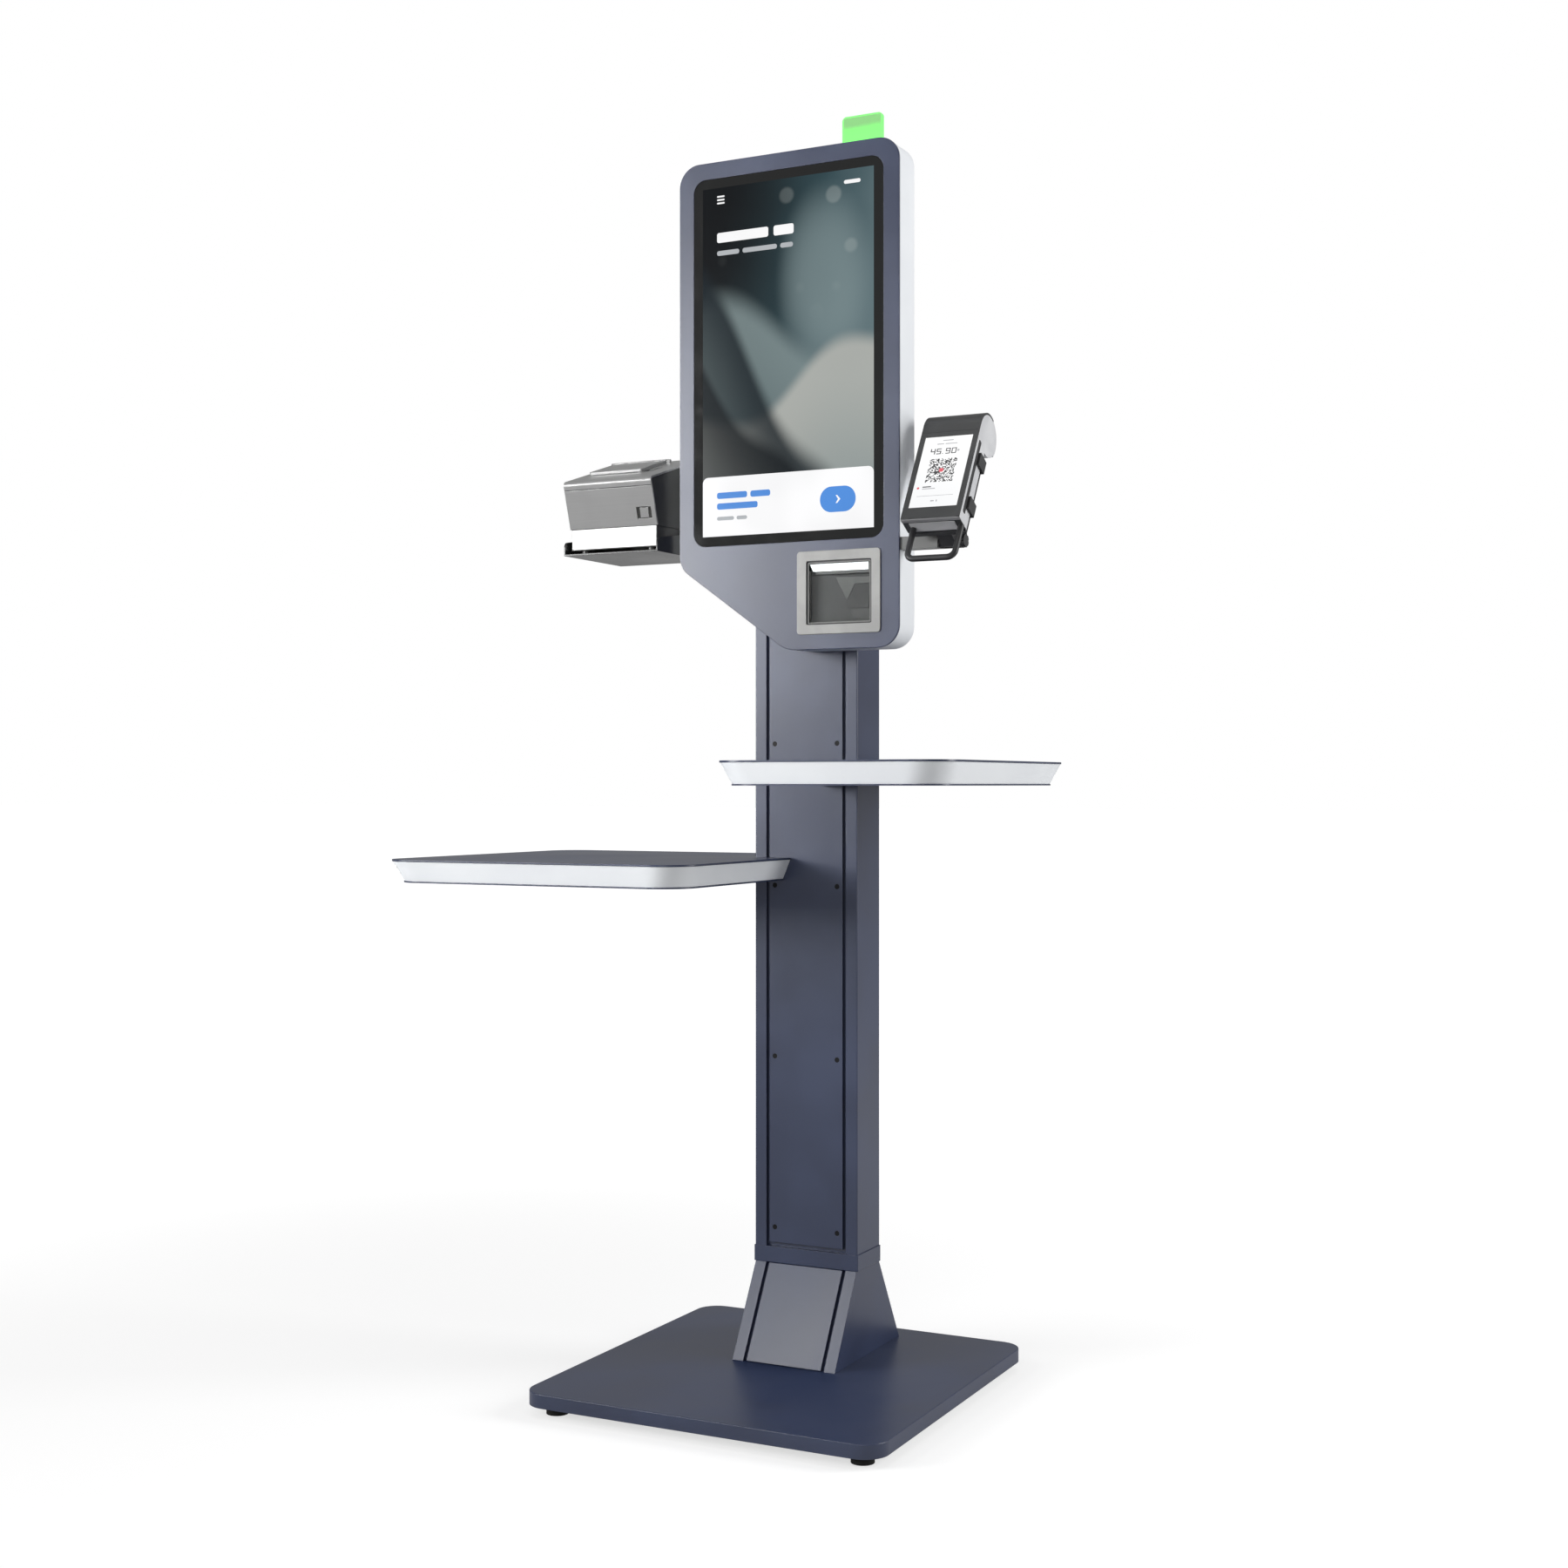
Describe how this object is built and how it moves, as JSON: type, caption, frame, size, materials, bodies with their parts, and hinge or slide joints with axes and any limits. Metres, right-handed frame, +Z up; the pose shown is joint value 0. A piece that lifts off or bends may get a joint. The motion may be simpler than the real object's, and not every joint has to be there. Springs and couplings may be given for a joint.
{
  "type": "self checkout kiosk",
  "caption": "floor standing self checkout kiosk with a touch screen head, code scanner, receipt printer, payment terminal and two side shelves on a post",
  "frame": {"origin": "on the floor, midway between the outer ends of the two shelves and on the middle line of the floor plate front to back", "axes": "+X towards the payment terminal, -Y towards the customer, +Z up"},
  "size_m": [0.8144, 0.5, 1.6938],
  "materials": {
    "navy": "satin",
    "white": "satin",
    "steel": "satin",
    "black": "matte",
    "rubber": "matte",
    "glass": "gloss",
    "screen": "gloss",
    "beacon": "gloss",
    "bezel": "satin",
    "grey": "satin",
    "tray": "satin",
    "lamp": "gloss",
    "pearl": "satin",
    "paper": "matte"
  },
  "bodies": {
    "kiosk_body": {"base_plate": "navy", "base_ballast": "steel", "base_fasteners": "steel", "plinth_shell": "navy", "plinth_cover": "navy", "column_tube": "navy", "column_collar": "navy", "lower_front_panel": "navy", "upper_front_panel": "navy", "m4_screws": "steel", "m6_bolts": "steel", "column_back_cover": "navy", "column_cap": "navy", "power_inlet": "black", "lower_shelf_top": "navy", "lower_shelf_rim": "white", "lower_shelf_underside": "navy", "lower_shelf_frame": "navy", "upper_shelf_top": "navy", "upper_shelf_rim": "white", "upper_shelf_underside": "navy", "upper_shelf_frame": "navy", "head_face": "black", "head_shell": "white", "head_mount_plate": "steel", "display_glass": "glass", "display_panel": "black", "control_computer": "steel", "power_supply": "steel", "loudspeaker": "black", "status_light_blade": "beacon", "status_light_holder": "black", "scanner_bezel": "bezel", "scanner_window": "glass", "scanner_chamber": "black", "scanner_light_bar": "lamp", "scanner_camera": "black", "printer_tray": "tray", "printer_base": "black", "printer_case": "black", "printer_skin": "grey", "terminal_arm": "grey"},
    "foot_front_left_body": {"foot_front_left": "rubber"},
    "foot_back_left_body": {"foot_back_left": "rubber"},
    "foot_front_right_body": {"foot_front_right": "rubber"},
    "foot_back_right_body": {"foot_back_right": "rubber"},
    "door_body": {"service_door": "white"},
    "lock_body": {"service_door_lock": "steel"},
    "printer_lid_body": {"printer_lid": "grey"},
    "latch_body": {"printer_latch": "grey"},
    "roll_body": {"paper_roll": "paper"},
    "platen_body": {"platen_roller": "rubber"},
    "terminal_body": {"terminal_face": "black", "terminal_screen": "screen", "terminal_back": "pearl", "terminal_cradle": "black", "terminal_loop": "black"},
    "terminal_lid_body": {"terminal_lid": "pearl"},
    "key_body": {"terminal_key": "black"},
    "knob_body": {"tilt_knob": "black"}
  },
  "joints": [
    {"name": "foot_front_left_turn", "type": "hinge", "parent": "kiosk_body", "child": "foot_front_left_body", "pos_m": [-0.13625, -0.215, 0.01], "axis": [0, 0, 1], "range_deg": [-180, 180]},
    {"name": "foot_back_left_turn", "type": "hinge", "parent": "kiosk_body", "child": "foot_back_left_body", "pos_m": [-0.13625, 0.215, 0.01], "axis": [0, 0, 1], "range_deg": [-180, 180]},
    {"name": "foot_front_right_turn", "type": "hinge", "parent": "kiosk_body", "child": "foot_front_right_body", "pos_m": [0.29375, -0.215, 0.01], "axis": [0, 0, 1], "range_deg": [-180, 180]},
    {"name": "foot_back_right_turn", "type": "hinge", "parent": "kiosk_body", "child": "foot_back_right_body", "pos_m": [0.29375, 0.215, 0.01], "axis": [0, 0, 1], "range_deg": [-180, 180]},
    {"name": "service_door_swing", "type": "hinge", "parent": "kiosk_body", "child": "door_body", "pos_m": [0.2309, 0.0716, 1.33], "axis": [0, 0, -1], "range_deg": [0, 100]},
    {"name": "door_lock_turn", "type": "hinge", "parent": "door_body", "child": "lock_body", "pos_m": [0.17775, 0.066, 1.33], "axis": [0, 1, 0], "range_deg": [0, 90]},
    {"name": "printer_lid_swing", "type": "hinge", "parent": "kiosk_body", "child": "printer_lid_body", "pos_m": [-0.18075, 0.07033, 1.26133], "axis": [-1, 0, 0], "range_deg": [0, 75]},
    {"name": "printer_latch_press", "type": "slide", "parent": "kiosk_body", "child": "latch_body", "axis": [0, 0.9563, 0.2924], "range_m": [0, 0.0025], "stiffness_N_per_m": 200},
    {"name": "paper_roll_turn", "type": "hinge", "parent": "kiosk_body", "child": "roll_body", "pos_m": [-0.18075, 0.045, 1.19], "axis": [1, 0, 0], "continuous": true},
    {"name": "platen_turn", "type": "hinge", "parent": "kiosk_body", "child": "platen_body", "pos_m": [-0.18075, 0.006, 1.222], "axis": [1, 0, 0], "continuous": true},
    {"name": "terminal_tilt", "type": "hinge", "parent": "kiosk_body", "child": "terminal_body", "pos_m": [0.30975, 0.024, 1.1203], "axis": [1, 0, 0], "range_deg": [-15, 20]},
    {"name": "terminal_paper_lid_swing", "type": "hinge", "parent": "terminal_body", "child": "terminal_lid_body", "pos_m": [0.30425, 0.06812, 1.25943], "axis": [-1, 0, 0], "range_deg": [0, 60]},
    {"name": "terminal_side_key_press", "type": "slide", "parent": "terminal_body", "child": "key_body", "axis": [1, 0, 0], "range_m": [0, 0.0008], "stiffness_N_per_m": 150},
    {"name": "tilt_knob_turn", "type": "hinge", "parent": "kiosk_body", "child": "knob_body", "pos_m": [0.32805, 0.024, 1.1203], "axis": [1, 0, 0], "range_deg": [-180, 180]}
  ],
  "couplings": [
    {"joint": "platen_turn", "follows": "paper_roll_turn", "ratio": 6.8}
  ]
}
